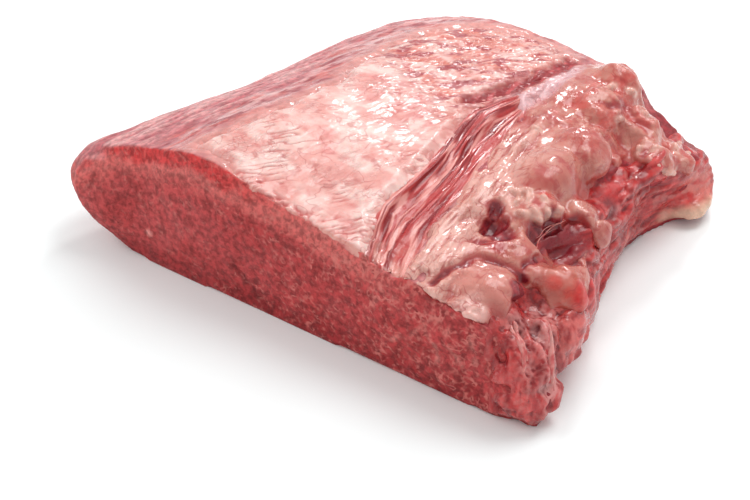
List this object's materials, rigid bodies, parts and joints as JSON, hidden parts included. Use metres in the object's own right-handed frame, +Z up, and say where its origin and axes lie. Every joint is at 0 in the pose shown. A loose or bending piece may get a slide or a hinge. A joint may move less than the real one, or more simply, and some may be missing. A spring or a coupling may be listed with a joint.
{
  "type": "raw beef brisket",
  "caption": "Raw beef brisket, a thick slab of marbled muscle under a pale fat cap, with one straight cut face and a ragged seam side of fat lobes; it lies flat.",
  "frame": {"origin": "centre of the flat underside's bounding rectangle, at table height", "axes": "+X along the straight cut face, from the round nose to the ragged seam side; +Y away from the cut face; +Z up, out of the fat cap"},
  "size_m": [0.305, 0.256, 0.084],
  "materials": {
    "raw_beef": null
  },
  "bodies": {
    "root": {"brisket": "raw_beef"}
  },
  "joints": []
}
